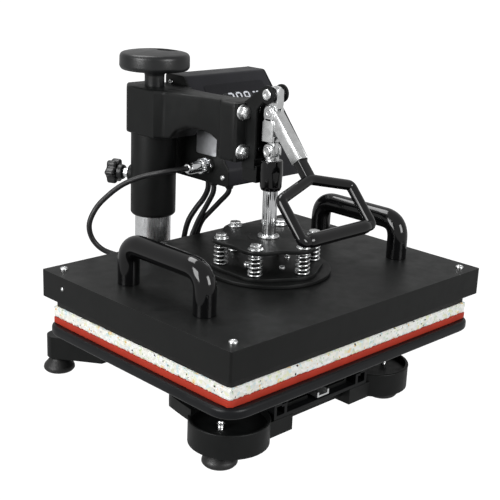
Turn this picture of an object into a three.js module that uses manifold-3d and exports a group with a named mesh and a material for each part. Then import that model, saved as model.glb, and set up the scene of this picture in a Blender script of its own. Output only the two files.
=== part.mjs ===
// A swing-away flat-bed heat press, closed and locked on its foam sheet.
// Millimetres, +Z up, +X to the operator's right, the operator stands on the -Y side.
// Modelled with the platen's centre on X = 0, Y = 0 and the floor at Z = 0, then moved so
// that the frame's origin is the middle of the base of the whole machine.
import * as THREE from 'three';
import { mergeVertices } from 'three/addons/utils/BufferGeometryUtils.js';
import Module from 'manifold-3d';

const wasm = await Module();
wasm.setup();

// ---------------------------------------------------------------- driving dimensions
const GAP = 0.3;                       // clearance between pieces that touch
const PLATEN = { width: 380, depth: 290, coverTop: 160.4, coverBottom: 131.1, wall: 1.6 };
const FOAM = { bottom: 108.4, top: 119.6 };
const TABLE = { half: [190, 145], radius: 22, bottom: 90.4, floor: 95.4, lipTop: 101 };
const PAD_INSET = 7.75;                // the pads stop this far inside the table's edge
const PLATE_INSET = 9.5;               // and the heating plate this far inside the cover's edge
const POD = { x: 111.7, y: -65, radius: 41.7, bottom: 18.3, top: 44 };
const FOOT = { radius: 18.6, front: [128, -70], rear: [118, 222] };
const RAIL = { half: 73, bottom: 36.4, top: 53.4, front: -90, back: 158 };
const POST = { y: 194, radius: 21.35, top: 305 };
const SLEEVE = { inner: 21.8, outer: 26.4, bottom: 176.6, top: 320 };
const HEAD = { half: 29, front: 152, back: 227, bottom: 278.6, top: 333 };
const KNOB = { radius: 40.7, bottom: 351.3, top: 373.2, stem: 11.5 };
const CRANK = 19;                      // lever pivot to knuckle pin
const LINK = 40.5;                     // knuckle pin to fork pin
const PIVOT_Z = 349.4;                 // height of the lever pivot
const KNUCKLE_Z = PIVOT_Z - CRANK;
const FORK_Z = KNUCKLE_Z - LINK;
const LEVER_DIP = 47.9;                // degrees below level that the closed lever points
const LEVER_HALF = 5.2;                 // half the lever channel's width
const SHAFT = 7.9;
const GUIDE = { radius: 12, bottom: 248, top: 280.3 };
const STAR = { pitch: 51.5, bottom: 192.4, top: 196.4 };
const DISC = { radius: 69, thick: 4 };
const HANDLE = { x: 146, front: -61.3, back: 54.2, top: 203.2, radius: 10.9 };
const BOX = {
  left: 30, right: 164, front: 97, back: 210, shelf: 178, bottom: 225.9, lip: 246.2, top: 343.2,
};
const LEAD = 2.6;                      // radius of the platen's leads
const MAINS = 3.4;                     // radius of the mains cord
const REAR_REACH = 253.6;                // the clamp knob stands out furthest at the back
const FRONT_REACH = -TABLE.half[1];
const ORIGIN_Y = (REAR_REACH + FRONT_REACH) / 2;

// ---------------------------------------------------------------- finishes
const finish = (color, roughness, metalness) =>
  new THREE.MeshStandardMaterial({ color, roughness, metalness });
const castBlack = finish(0x232424, 0.55, 0.3);
const sheetBlack = finish(0x2a2a2a, 0.6, 0.2);
const glossBlack = finish(0x0d0d0e, 0.2, 0.1);
const plasticBlack = finish(0x18191a, 0.45, 0);
const chrome = finish(0xd8dadb, 0.12, 1);
const zinc = finish(0xc9cbcc, 0.35, 1);
const bareAluminium = finish(0xdadcdc, 0.4, 1);
const coatedPlate = finish(0x141414, 0.5, 0.2);
const rubber = finish(0x111111, 0.85, 0);
const silicone = finish(0xc8432a, 0.65, 0);
const foam = finish(0xeeeade, 0.95, 0);
const boxGrey = finish(0x3a3a40, 0.5, 0.2);
const glass = finish(0x121315, 0.15, 0);
const fibre = finish(0xd9d4c6, 0.95, 0);

// ---------------------------------------------------------------- solids
function solid(geometry) {
  const bare = geometry.index ? geometry.toNonIndexed() : geometry.clone();
  bare.deleteAttribute('normal');
  bare.deleteAttribute('uv');
  const merged = mergeVertices(bare, 1e-4);
  return new wasm.Manifold(new wasm.Mesh({
    numProp: 3,
    vertProperties: new Float32Array(merged.attributes.position.array),
    triVerts: new Uint32Array(merged.index.array),
  }));
}

function geometryOf(body) {
  const mesh = body.getMesh();
  const geometry = new THREE.BufferGeometry();
  geometry.setAttribute('position', new THREE.BufferAttribute(new Float32Array(mesh.vertProperties), 3));
  geometry.setIndex(new THREE.BufferAttribute(new Uint32Array(mesh.triVerts), 1));
  geometry.computeVertexNormals();
  return geometry;
}

function block(x0, x1, y0, y1, z0, z1) {
  const geometry = new THREE.BoxGeometry(x1 - x0, y1 - y0, z1 - z0);
  geometry.translate((x0 + x1) / 2, (y0 + y1) / 2, (z0 + z1) / 2);
  return solid(geometry);
}

// block whose X span is taken on the given hand: -1 for the left, 1 for the right
function mirroredBlock(hand, inner, outer, y0, y1, z0, z1) {
  return block(Math.min(hand * inner, hand * outer), Math.max(hand * inner, hand * outer), y0, y1, z0, z1);
}

// upright cylinder or cone
function round(x, y, z0, z1, radius, sides = 32, topRadius = radius) {
  const geometry = new THREE.CylinderGeometry(topRadius, radius, z1 - z0, sides);
  geometry.rotateX(Math.PI / 2);
  geometry.translate(x, y, (z0 + z1) / 2);
  return solid(geometry);
}

// cylinder lying along X
function pin(x0, x1, y, z, radius, sides = 24) {
  const geometry = new THREE.CylinderGeometry(radius, radius, x1 - x0, sides);
  geometry.rotateZ(Math.PI / 2);
  geometry.translate((x0 + x1) / 2, y, z);
  return solid(geometry);
}

// an outline in X, Y raised between two heights
function plate(outline, z0, z1, curveSegments = 8) {
  const geometry = new THREE.ExtrudeGeometry(outline, { depth: z1 - z0, bevelEnabled: false, curveSegments });
  geometry.translate(0, 0, z0);
  return solid(geometry);
}

// an outline in Y, Z carried between two values of X
function side(outline, x0, x1, curveSegments = 8) {
  const geometry = new THREE.ExtrudeGeometry(outline, { depth: x1 - x0, bevelEnabled: false, curveSegments });
  geometry.applyMatrix4(new THREE.Matrix4().makeBasis(
    new THREE.Vector3(0, 1, 0), new THREE.Vector3(0, 0, 1), new THREE.Vector3(1, 0, 0)));
  geometry.translate(x0, 0, 0);
  return solid(geometry);
}

// an outline in X, Z carried between two values of Y
function along(outline, y0, y1) {
  const geometry = new THREE.ExtrudeGeometry(outline, { depth: y1 - y0, bevelEnabled: false });
  geometry.applyMatrix4(new THREE.Matrix4().makeBasis(
    new THREE.Vector3(1, 0, 0), new THREE.Vector3(0, 0, 1), new THREE.Vector3(0, -1, 0)));
  geometry.translate(0, y1, 0);
  return solid(geometry);
}

const polygon = (...points) => new THREE.Shape(points.map(([a, b]) => new THREE.Vector2(a, b)));

function roundedRectangle(x0, x1, y0, y1, radius) {
  const outline = new THREE.Shape();
  outline.moveTo(x0 + radius, y0);
  outline.lineTo(x1 - radius, y0);
  outline.absarc(x1 - radius, y0 + radius, radius, -Math.PI / 2, 0, false);
  outline.absarc(x1 - radius, y1 - radius, radius, 0, Math.PI / 2, false);
  outline.absarc(x0 + radius, y1 - radius, radius, Math.PI / 2, Math.PI, false);
  outline.absarc(x0 + radius, y0 + radius, radius, Math.PI, 1.5 * Math.PI, false);
  return outline;
}

// straight band with round ends from a to b
function lug(a, b, radius) {
  const turn = Math.atan2(b[1] - a[1], b[0] - a[0]);
  const outline = new THREE.Shape();
  outline.absarc(b[0], b[1], radius, turn - Math.PI / 2, turn + Math.PI / 2, false);
  outline.absarc(a[0], a[1], radius, turn + Math.PI / 2, turn + 1.5 * Math.PI, false);
  return outline;
}

function ring(radius, sides) {
  const step = 2 * Math.PI / sides;
  const corner = (_, i) => [radius * Math.cos(i * step), radius * Math.sin(i * step)];
  return polygon(...Array.from({ length: sides }, corner));
}

// round bar along a curve
function bar(curve, radius, sides, steps) {
  const options = { steps, extrudePath: curve, bevelEnabled: false };
  return solid(new THREE.ExtrudeGeometry(ring(radius, sides), options));
}

const vector = ([x, y, z]) => new THREE.Vector3(x, y, z);
const smooth = (points) => new THREE.CatmullRomCurve3(points.map(vector), false, 'centripetal');

// straight runs with rounded corners through the given points
function bentPath(points, radius) {
  const path = new THREE.CurvePath();
  const corners = points.map(vector);
  let from = corners[0];
  const towards = (corner, other) =>
    corner.clone().addScaledVector(other.clone().sub(corner).normalize(), radius);
  for (let i = 1; i < corners.length - 1; i++) {
    const before = towards(corners[i], corners[i - 1]);
    const after = towards(corners[i], corners[i + 1]);
    path.add(new THREE.LineCurve3(from, before));
    path.add(new THREE.QuadraticBezierCurve3(before, corners[i], after));
    from = after;
  }
  path.add(new THREE.LineCurve3(from, corners.at(-1)));
  return path;
}

const machine = new THREE.Group();
const frame = new THREE.Group();
frame.position.y = -ORIGIN_Y;
machine.add(frame);

function add(name, body, material) {
  const mesh = new THREE.Mesh(geometryOf(body), material);
  mesh.name = name;
  frame.add(mesh);
}

// ---------------------------------------------------------------- base
function frontCasting() {
  const crossBar = block(-80, 80, -78, -45, 24, RAIL.bottom - GAP);
  let body = crossBar;
  for (const hand of [-1, 1]) {
    body = body.add(round(hand * POD.x, POD.y, POD.bottom, POD.top, POD.radius, 36));
    body = body.add(mirroredBlock(hand, 45, 80, RAIL.front, -55, POD.bottom, RAIL.bottom - GAP));
    const wing = new THREE.Shape();
    wing.moveTo(hand * (RAIL.half + 1), -60);
    wing.lineTo(hand * 142, -50);
    wing.quadraticCurveTo(hand * 139, -22, hand * 134, 2);
    wing.lineTo(hand * 124, 14);
    wing.lineTo(hand * (RAIL.half + 1), 14);
    body = body.add(plate(wing, 38, 51.4));
  }
  for (const hand of [-1, 1]) {
    body = body.subtract(round(hand * POD.x, POD.y, POD.top - 6, POD.top + 10, POD.radius - 3, 36));
    body = body.subtract(round(hand * FOOT.front[0], FOOT.front[1], 10, 60, 4.3, 12));
  }
  const seat = RAIL.half + GAP;
  add('front_casting', body.subtract(block(-seat, seat, -200, 200, RAIL.bottom - GAP, 80)), castBlack);
}

function rearCasting() {
  const [x, y] = FOOT.rear;
  const outline = new THREE.Shape();
  outline.moveTo(-96, 168);
  outline.lineTo(96, 168);
  outline.lineTo(x + 13.2, y - 4);
  outline.absarc(x, y, 14, -0.3, Math.PI / 2, false);
  outline.absarc(-x, y, 14, Math.PI / 2, Math.PI + 0.3, false);
  let body = plate(outline, POD.bottom, 45);
  body = body.add(block(-RAIL.half, RAIL.half, 120, 170, POD.bottom, RAIL.bottom - GAP));
  body = body.add(round(0, POST.y, 40, 62, 33, 40));
  body = body.subtract(round(0, POST.y, 30, 70, POST.radius + GAP, 40));
  for (const hand of [-1, 1]) body = body.subtract(round(hand * x, y, 10, 60, 4.3, 12));
  const seat = RAIL.half + GAP;
  const railSeat = block(-seat, seat, 0, RAIL.back + GAP, RAIL.bottom - GAP, 80);
  add('rear_casting', body.subtract(railSeat), castBlack);
}

// wide anodised section: floor, side walls with inward hooks, two inner ribs, toothed underside
function baseRail() {
  const { half, bottom, top, front, back } = RAIL;
  const floor = bottom + 4;
  let body = block(-half, half, front, back, bottom, floor);
  for (const hand of [-1, 1]) {
    const strip = (inner, outer, low, high) => mirroredBlock(hand, inner, outer, front, back, low, high);
    const wall = strip(half - 4, half, bottom, top);
    const hook = strip(half - 11, half, top - 3, top);
    const rib = strip(54, 58, bottom, floor + 11);
    const ribHook = strip(54, 62, floor + 8, floor + 11);
    body = body.add(wall).add(hook).add(rib).add(ribHook);
  }
  add('base_rail', body, castBlack);
  const channel = polygon([-9, 43], [9, 43], [9, 49], [6.5, 49], [6.5, 45], [-6.5, 45], [-6.5, 49], [-9, 49]);
  add('rail_channel', along(channel, RAIL.front - 1, 130), bareAluminium);
}

function levellingFoot(name, x, y) {
  const { radius } = FOOT;
  const profile = [
    [0, 0], [radius - 1.5, 0], [radius, 2], [radius - 1.4, 5], [12, 12], [9, 16], [9, POD.bottom - GAP],
    [4, POD.bottom - GAP], [4, 46], [6.5, 46], [6.5, 51], [0, 51],
  ];
  const geometry = new THREE.LatheGeometry(profile.map(([r, z]) => new THREE.Vector2(r, z)), 16);
  geometry.rotateX(Math.PI / 2);
  geometry.translate(x, y, 0);
  add(name, solid(geometry), rubber);
}

function post() {
  const { y, radius, top } = POST;
  const tube = round(0, y, 30 + GAP, top, radius, 36);
  add('post', tube.subtract(round(0, y, 36, top + 1, radius - 4, 32)), chrome);
}

// inverted channel that carries the table on the rail
function tableFrame() {
  const outline = polygon([-48, 40.7], [-14, 40.7], [-14, 44.7], [-44, 44.7], [-44, 84], [44, 84],
    [44, 44.7], [14, 44.7], [14, 40.7], [48, 40.7], [48, 90.1], [-48, 90.1]);
  add('table_frame', along(outline, -82, 132), castBlack);
}

function table() {
  const [x, y] = TABLE.half;
  const outer = plate(roundedRectangle(-x, x, -y, y, TABLE.radius), TABLE.bottom, TABLE.lipTop, 6);
  const inset = PAD_INSET + 1;
  const pocketOutline = roundedRectangle(-x + inset, x - inset, -y + inset, y - inset, TABLE.radius - inset);
  add('table', outer.subtract(plate(pocketOutline, TABLE.floor, TABLE.lipTop + 5, 6)), castBlack);
}

function softGoods() {
  const [x, y] = TABLE.half.map((half) => half - PAD_INSET);
  const under = 1.5;
  const corner = TABLE.radius - PAD_INSET;
  const lowerOutline = roundedRectangle(-x + under, x - under, -y + under, y - under, corner);
  const lower = plate(lowerOutline, TABLE.floor + GAP, TABLE.lipTop + GAP + 0.1, 4);
  const upper = plate(roundedRectangle(-x, x, -y, y, 2), TABLE.lipTop + GAP, FOAM.bottom - GAP, 3);
  add('silicone_pad', lower.add(upper), silicone);
  add('foam_sheet', plate(roundedRectangle(-x, x, -y, y, 2), FOAM.bottom, FOAM.top, 3), foam);
}

// ---------------------------------------------------------------- column and arm
function column() {
  const { y, top } = POST;
  add('thrust_pad', round(0, y, top + GAP, top + 4, 16, 24), zinc);
  add('pressure_screw', round(0, y, top + 4.3, KNOB.bottom - GAP, KNOB.stem, 24), plasticBlack);
  const profile = [[0, KNOB.bottom], [KNOB.radius - 2, KNOB.bottom], [KNOB.radius, KNOB.bottom + 3],
    [KNOB.radius - 1.8, KNOB.top - 2.5], [KNOB.radius - 4.5, KNOB.top], [0, KNOB.top]];
  const geometry = new THREE.LatheGeometry(profile.map(([r, z]) => new THREE.Vector2(r, z)), 36);
  geometry.rotateX(Math.PI / 2);
  geometry.translate(0, y, 0);
  const dimple = new THREE.SphereGeometry(10, 16, 10);
  dimple.translate(14, y - 8, KNOB.top + 3.5);
  add('pressure_knob', solid(geometry).subtract(solid(dimple)), plasticBlack);
}

function armCasting() {
  const { half, front, back, bottom, top } = HEAD;
  const outline = polygon(
    [-half, front + 8], [-half + 8, front], [half - 8, front], [half, front + 8],
    [half, back - 18], [half - 14, back], [-half + 14, back], [-half, back - 18]);
  const head = plate(outline, bottom, top);
  const web = new THREE.Shape();
  web.moveTo(160, bottom);
  web.lineTo(160, top);
  web.lineTo(120, top + 2);
  web.lineTo(50, top + 5.5);
  web.lineTo(50, 273);
  web.quadraticCurveTo(72, 298, 100, 297);
  web.quadraticCurveTo(128, 297, 140, bottom);
  const nose = plate(roundedRectangle(-24, 24, 34, 58, 8), 273, 339.5, 5);
  let body = head.add(side(web, -10, 10)).add(nose);
  body = body.subtract(round(0, POST.y, 270, SLEEVE.top + GAP, SLEEVE.outer + GAP, 36));
  body = body.subtract(round(0, POST.y, 300, 360, KNOB.stem + 0.5, 24));
  add('arm_casting', body, castBlack);
}

const LOCK = { angle: 114.8, z: 225.4, boss: 31 };   // clamp screw through the sleeve, degrees from +X

function radial(geometry, distance) {
  const turn = LOCK.angle * Math.PI / 180;
  geometry.rotateZ(-Math.PI / 2);
  geometry.translate(distance, 0, 0);
  geometry.rotateZ(turn);
  geometry.translate(0, POST.y, LOCK.z);
  return solid(geometry);
}

function swingSleeve() {
  let body = round(0, POST.y, SLEEVE.bottom, SLEEVE.top, SLEEVE.outer, 36);
  body = body.add(radial(new THREE.CylinderGeometry(8, 8, 8, 16), LOCK.boss - 4));
  body = body.subtract(round(0, POST.y, 100, 400, SLEEVE.inner, 36));
  body = body.subtract(radial(new THREE.CylinderGeometry(4.3, 4.3, 20, 12), 28));
  add('swing_sleeve', body, castBlack);
}

function lockKnob() {
  const stud = radial(new THREE.CylinderGeometry(4, 4, 22, 12), 33.5);
  const hub = radial(new THREE.CylinderGeometry(8.5, 7, 8, 16), 42);
  const lobes = new THREE.Shape();
  const steps = 36;
  for (let i = 0; i < steps; i++) {
    const turn = 2 * Math.PI * i / steps;
    const reach = 13.6 + 1.9 * Math.cos(6 * turn);
    const point = [reach * Math.cos(turn), reach * Math.sin(turn)];
    if (i === 0) lobes.moveTo(...point); else lobes.lineTo(...point);
  }
  const star = new THREE.ExtrudeGeometry(lobes, { depth: 13, bevelEnabled: false });
  star.rotateX(-Math.PI / 2);
  add('lock_knob', stud.add(hub).add(radial(star, 45.5)), plasticBlack);
}

// ---------------------------------------------------------------- toggle
// lateral layers, from the middle out: lever channel, link cheeks, bracket ears
const LINK_OUTER = 8.4;
const EAR = [8.8, 11.4];
const dip = LEVER_DIP * Math.PI / 180;

// point in Y, Z at a reach along the closed lever and an offset square to it, on its upper side
const leverPoint = (reach, offset = 0) => [
  -reach * Math.cos(dip) - offset * Math.sin(dip),
  KNUCKLE_Z - reach * Math.sin(dip) + offset * Math.cos(dip),
];

// an outline across and along the lever, raised between two offsets
function onLever(outline, below, above) {
  const geometry = new THREE.ExtrudeGeometry(outline, { depth: above - below, bevelEnabled: false });
  geometry.translate(0, 0, below);
  const across = new THREE.Vector3(-1, 0, 0);
  const down = new THREE.Vector3(0, -Math.cos(dip), -Math.sin(dip));
  geometry.applyMatrix4(new THREE.Matrix4().makeBasis(across, down, across.clone().cross(down)));
  geometry.translate(0, 0, KNUCKLE_Z);
  return solid(geometry);
}

function toggleBracket() {
  const ear = new THREE.Shape();
  ear.moveTo(33.7, 277);
  ear.lineTo(33.7, 337);
  ear.absarc(0, PIVOT_Z, 9.5, 1.1, 1.7 * Math.PI, false);
  ear.lineTo(15, 331);
  ear.lineTo(15, 277);
  let body = block(-24, 24, 29.7, 33.7, 275, 337);
  body = body.add(side(ear, EAR[0], EAR[1])).add(side(ear, -EAR[1], -EAR[0]));
  body = body.add(block(-EAR[1], EAR[1], 15, 33.7, 268, 279));
  body = body.add(block(-10, 10, GUIDE.radius + GAP, 33.7, 254, 272));
  add('toggle_bracket', body.subtract(pin(-20, 20, 0, PIVOT_Z, 4.3, 20)), castBlack);
}

function guideSleeve() {
  const { radius, bottom, top } = GUIDE;
  const tip = round(0, 0, bottom, bottom + 5, radius - 2.5, 32, radius);
  const body = round(0, 0, bottom + 5, top, radius).add(tip);
  add('guide_sleeve', body.subtract(round(0, 0, bottom - 5, top + 5, SHAFT + GAP)), glossBlack);
}

// plain pin with a hexagon at each end
function crossPin(name, z, half, head, reach) {
  const left = pin(-half - reach, -half + 0.1, 0, z, head, 6);
  const right = pin(half - 0.1, half + reach, 0, z, head, 6);
  add(name, pin(-half, half, 0, z, 4, 20).add(left).add(right), zinc);
}

function lever() {
  const reach = 60;
  const run = polygon(leverPoint(0, 7.5), leverPoint(0, -7), leverPoint(reach, -7), leverPoint(reach, 7.5));
  const hollow = polygon(
    leverPoint(-34, 5), leverPoint(-34, -20), leverPoint(reach + 5, -20), leverPoint(reach + 5, 5));
  const body = side(lug([0, PIVOT_Z], [0, KNUCKLE_Z], 7.5), -LEVER_HALF, LEVER_HALF)
    .add(side(run, -LEVER_HALF, LEVER_HALF))
    .subtract(side(hollow, -LEVER_HALF + 2.5, LEVER_HALF - 2.5))
    .subtract(pin(-20, 20, 0, PIVOT_Z, 4.3, 20));
  add('lever_channel', body.add(pin(-LEVER_HALF, LEVER_HALF, 0, KNUCKLE_Z, 4, 20)), zinc);
}

// flat bar out of the channel, then a five-sided frame whose far side is the grip
function handleFrame() {
  const ringShape = polygon([0, 76], [59.5, 91.5], [58, 154.5], [-58, 154.5], [-59.5, 91.5]);
  ringShape.holes.push(polygon([0, 86.5], [-49.5, 100], [-47.5, 144.5], [47.5, 144.5], [49.5, 100]));
  const tongue = onLever(polygon([-2.5, 36], [2.5, 36], [2.5, 62], [-2.5, 62]), -4, 4.6);
  const flat = onLever(polygon([-8, 60.4], [8, 60.4], [8, 84], [-8, 84]), -4, 4.6);
  add('handle_frame', onLever(ringShape, -5, 5).add(flat).add(tongue), glossBlack);
}

function toggleLink() {
  const cheeks = side(lug([0, KNUCKLE_Z], [0, KNUCKLE_Z - 8], 7.5), -LINK_OUTER, LINK_OUTER)
    .add(block(-LINK_OUTER, LINK_OUTER, -9.3, 9.3, FORK_Z + 9, KNUCKLE_Z - 7));
  const room = block(-LEVER_HALF - 0.4, LEVER_HALF + 0.4, -20, 20, FORK_Z + 16, KNUCKLE_Z + 20);
  const tongue = side(lug([0, FORK_Z + 12], [0, FORK_Z], 5.8), -3.3, 3.3);
  add('toggle_link', cheeks.subtract(room).add(tongue).subtract(pin(-20, 20, 0, FORK_Z, 4.3, 20)), zinc);
}

// ---------------------------------------------------------------- ram and pressure plate
function ram() {
  add('ram_shaft', round(0, 0, 190, GUIDE.top + 0.6, SHAFT), chrome);
  const prong = side(lug([0, FORK_Z], [0, FORK_Z - 4], 7), -6.8, 6.8)
    .subtract(block(-3.6, 3.6, -20, 20, FORK_Z - 6.3, FORK_Z + 20))
    .intersect(block(-20, 20, -20, 20, GUIDE.top + 0.9, FORK_Z + 20));
  add('ram_fork', prong.subtract(pin(-20, 20, 0, FORK_Z, 4.3, 20)), zinc);
  crossPin('fork_pin', FORK_Z, 7.1, 5.5, 1.6);
  crossPin('pivot_pin', PIVOT_Z, EAR[1] + GAP, 6, 1.6);
}

const sixth = (i) => Math.PI / 6 + i * Math.PI / 3;
const boltPlace = (i) => [STAR.pitch * Math.cos(sixth(i)), STAR.pitch * Math.sin(sixth(i))];

// wavy outline whose lobes stand over the six spring bolts
function lobed(mean, swing, steps = 48) {
  return polygon(...Array.from({ length: steps }, (_, i) => {
    const turn = 2 * Math.PI * i / steps;
    const reach = mean - swing * Math.cos(6 * turn);
    return [reach * Math.cos(turn), reach * Math.sin(turn)];
  }));
}

function springPlate() {
  let body = plate(lobed(57, 4.5), STAR.bottom, STAR.top);
  body = body.subtract(round(0, 0, 180, 210, SHAFT + GAP));
  for (let i = 0; i < 6; i++) body = body.subtract(round(...boltPlace(i), 180, 210, 3.6, 10));
  add('spring_plate', body, sheetBlack);
  const collar = round(0, 0, STAR.top + GAP, STAR.top + 5, 10.8);
  add('shaft_collar', collar.subtract(round(0, 0, 190, 210, SHAFT + GAP)), zinc);
}

function springs() {
  const foot = PLATEN.coverTop + 2 * DISC.thick + GAP;
  for (let i = 0; i < 6; i++) {
    const coil = round(...boltPlace(i), foot + GAP, STAR.bottom - GAP, 6.5, 16);
    add(`spring_${i + 1}`, coil.subtract(round(...boltPlace(i), 150, 210, 4.2, 12)), zinc);
  }
}

// ---------------------------------------------------------------- platen
function platen() {
  const { width, depth, coverTop, coverBottom, wall } = PLATEN;
  const [x, y] = [width / 2, depth / 2];
  const outer = plate(roundedRectangle(-x, x, -y, y, 2.5), coverBottom, coverTop, 3);
  const filled = (inset, low, high) => block(-x + inset, x - inset, -y + inset, y - inset, low, high);
  const plateTop = 142;
  add('platen_cover', outer.subtract(filled(wall, 100, coverTop - wall)), sheetBlack);
  add('heat_plate', filled(PLATE_INSET, FOAM.top + 0.4, plateTop), coatedPlate);
  add('insulation_board', filled(4, plateTop + GAP, coverTop - wall - GAP), fibre);
  const disc = round(0, 0, coverTop + GAP, coverTop + DISC.thick, DISC.radius, 40);
  const upper = plate(lobed(59.5, 2.5), coverTop + DISC.thick - 0.1, coverTop + 2 * DISC.thick);
  add('mounting_disc', disc.add(upper), sheetBlack);
  const foot = coverTop + GAP;
  for (const [name, hand] of [['left', -1], ['right', 1]]) {
    const at = hand * HANDLE.x;
    const top = HANDLE.top;
    const front = [[at, HANDLE.front, foot], [at, HANDLE.front, top]];
    const back = [[at, HANDLE.back, top], [at, HANDLE.back, foot]];
    const path = bentPath([...front, ...back], 24);
    add(`${name}_cover_handle`, bar(path, HANDLE.radius, 10, 32), glossBlack);
  }
}

// ---------------------------------------------------------------- control box
const boxOutline = (inset) => polygon(
  [BOX.front + inset, BOX.bottom + inset], [BOX.back - inset, BOX.bottom + inset],
  [BOX.back - inset, BOX.top - inset], [BOX.shelf + 0.5 * inset, BOX.top - inset],
  [BOX.front + inset, BOX.lip - 0.5 * inset]);
const slope = Math.atan2(BOX.top - BOX.lip, BOX.shelf - BOX.front);

// an outline on the sloping front: X, and height up the slope; raised square to it
function onPanel(outline, below, above) {
  const options = { depth: above - below, bevelEnabled: false, curveSegments: 3 };
  const geometry = new THREE.ExtrudeGeometry(outline, options);
  geometry.translate(0, 0, below);
  const up = new THREE.Vector3(0, Math.cos(slope), Math.sin(slope));
  const across = new THREE.Vector3(1, 0, 0);
  geometry.applyMatrix4(new THREE.Matrix4().makeBasis(across, up, across.clone().cross(up)));
  geometry.translate(0, BOX.front, BOX.lip);
  return solid(geometry);
}

const BUTTON = { height: 45, size: 6, places: [78, 97, 116] };
const DISPLAY = [76, 122, 72, 98];
const ROCK = 6;                        // degrees that the rocker leans at rest

function controlBox() {
  const end = 2;
  const { left, right } = BOX;
  const [x0, x1, s0, s1] = DISPLAY;
  const windowOutline = (inset) => polygon(
    [x0 + inset, s0 + inset], [x1 - inset, s0 + inset], [x1 - inset, s1 - inset], [x0 + inset, s1 - inset]);
  const keyOutline = (x, half) =>
    roundedRectangle(x - half, x + half, BUTTON.height - half, BUTTON.height + half, 2);
  let shell = side(boxOutline(0), left + end + GAP, right - end - GAP);
  shell = shell.subtract(side(boxOutline(2), left - 5, right + 5));
  shell = shell.subtract(onPanel(windowOutline(0), -8, 8));
  for (const x of BUTTON.places) {
    shell = shell.subtract(onPanel(keyOutline(x, BUTTON.size + 0.4), -8, 8));
  }
  add('control_box', shell, boxGrey);
  add('box_end_left', side(boxOutline(0), left, left + end), boxGrey);
  const socket = block(right - 10, right + 10, 140, 154, 250, 271);
  add('box_end_right', side(boxOutline(0), right - end, right).subtract(socket), boxGrey);
  add('display_window', onPanel(windowOutline(GAP), -4, -0.6), glass);
  BUTTON.places.forEach((x, i) => {
    add(`panel_button_${i + 1}`, onPanel(keyOutline(x, BUTTON.size), -5, 1.8), plasticBlack);
  });
  const rocker = block(-4, 3.5, 140.5, 153.5, -10, 10);
  add('power_switch', rocker.rotate([0, ROCK, 0]).translate([right - 2, 0, 260.5]), plasticBlack);
  add('box_bracket', block(10.3, left - GAP, 100, 140, 302, 326), castBlack);
  const plug = pin(14, left - GAP, 129, 247, 9, 24).add(pin(-5, 14.1, 129, 247, 7, 24));
  add('lead_connector', plug, zinc);
}

// ---------------------------------------------------------------- leads and mains cord
function leads() {
  const heater = smooth([[-5.3, 129, 247], [-16, 130, 247], [-30, 137, 245], [-46, 157, 238], [-61, 173, 228],
    [-75, 183, 215], [-87, 190, 200], [-93.5, 194, 181], [-90, 193, 164], [-82, 186, 152], [-72, 173, 146.5],
    [-66, 158, 146], [-65, 145.9, 146]]);
  add('heater_lead', bar(heater, LEAD, 8, 40), rubber);
  const sensor = smooth([[38, 129, 225], [38, 129.5, 214], [37, 139, 196], [34.5, 150, 176], [33, 156, 162],
    [31, 158, 153], [30, 153, 147], [29.5, 145.9, 146]]);
  add('sensor_lead', bar(sensor, LEAD, 8, 22), rubber);
  const earth = smooth([[41, 106, 225], [41, 106.6, 218.5], [42, 123, 202], [41.5, 139, 186],
    [40.5, 150, 174], [40, 156.5, 161], [39.5, 157.5, 153], [39, 153, 147], [38.5, 145.9, 146]]);
  add('earth_lead', bar(earth, LEAD, 8, 26), rubber);
}

const COIL = { x: 32, y: 330, mean: 37.5, half: [10.5, 7] };

function mainsCord() {
  const route = smooth([[48, 150, 225], [48, 150, 212], [45.5, 155, 198], [41, 163, 185],
    [37, 171, 170], [35, 176, 150], [36, 180, 125], [40, 180, 99], [47, 181, 76], [51, 191, 58],
    [55, 207, 50], [58, 224, 49.6], [60.5, 238, 48.6], [63, 249, 42], [66, 257, 30], [69, 266, 17.5],
    [72, 276, 8], [74.5, 288, 3.8], [76, 301, 3.7]]);
  add('mains_cord', bar(route, MAINS, 8, 60), rubber);
  const { x, y, mean, half: [wide, high] } = COIL;
  const outline = roundedRectangle(mean - wide, mean + wide, GAP, GAP + 2 * high, 4).getPoints(1);
  const geometry = new THREE.LatheGeometry([...outline, outline[0].clone()], 32);
  geometry.rotateX(Math.PI / 2);
  geometry.translate(x, y, 0);
  add('mains_coil', solid(geometry), rubber);
  let plug = pin(0, 16, 0, 10.5, 5, 16).add(block(15, 38, -13, 13, 0.5, 20.5));
  for (const hand of [-1, 1]) {
    const middle = hand * 6.4;
    plug = plug.add(block(37, 55, middle - 0.8, middle + 0.8, 7.3, 13.7));
  }
  const lastTurn = x - mean - wide + MAINS;
  add('mains_plug', plug.rotate([0, 0, -90]).translate([lastTurn, y - 28, 0]), rubber);
}

frontCasting();
rearCasting();
baseRail();
levellingFoot('front_left_foot', -FOOT.front[0], FOOT.front[1]);
levellingFoot('front_right_foot', ...FOOT.front);
levellingFoot('rear_left_foot', -FOOT.rear[0], FOOT.rear[1]);
levellingFoot('rear_right_foot', ...FOOT.rear);
post();
tableFrame();
table();
softGoods();
column();
armCasting();
swingSleeve();
lockKnob();
toggleBracket();
guideSleeve();
lever();
handleFrame();
toggleLink();
ram();
springPlate();
springs();
platen();
controlBox();
leads();
mainsCord();

export default machine;
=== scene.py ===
"""A swing-away heat press, closed on its foam sheet.

Shapes are worked out in millimetres about the platen's axis (X to the operator's right, the
operator at -Y, Z up from the bench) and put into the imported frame, in metres, by to_frame().
"""
import math

import bmesh
import bpy
import numpy as np
from mathutils import Matrix, Vector


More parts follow.
